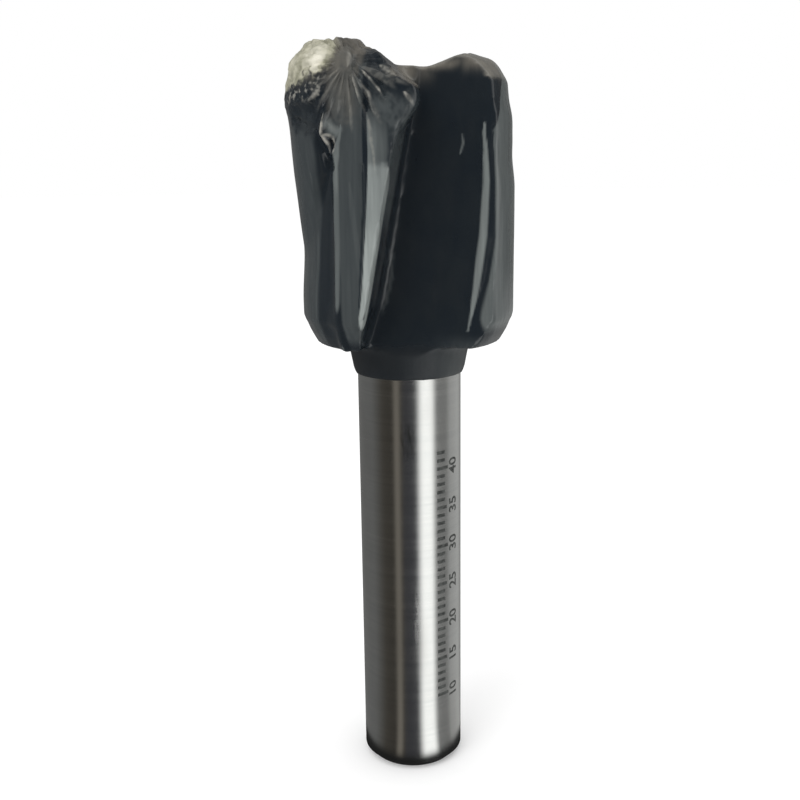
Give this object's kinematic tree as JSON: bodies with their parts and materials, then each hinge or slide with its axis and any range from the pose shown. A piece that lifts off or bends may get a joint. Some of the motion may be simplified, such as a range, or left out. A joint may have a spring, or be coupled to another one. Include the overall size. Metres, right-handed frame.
{
  "type": "router bit",
  "caption": "Large straight router bit with a half-inch shank, brazed carbide cutting tips and a glossy dark peel-off film over its cutting head.",
  "frame": {"origin": "centre of the flat end of the shank", "axes": "+Z along the tool axis from the shank to the cutting end, -Y is the side with the first flute and the milky drip on its left"},
  "size_m": [0.0268, 0.0256, 0.0893],
  "materials": {
    "ground_steel": "bright ground shank, grind lines round it",
    "carbide": "fine ground tungsten carbide",
    "dark_film": "glossy wrinkled dip film, milky where it is thick"
  },
  "bodies": {
    "root": {"cutter_body": "ground_steel", "carbide_tip_1": "carbide", "carbide_tip_2": "carbide", "protective_film": "dark_film"}
  },
  "joints": []
}
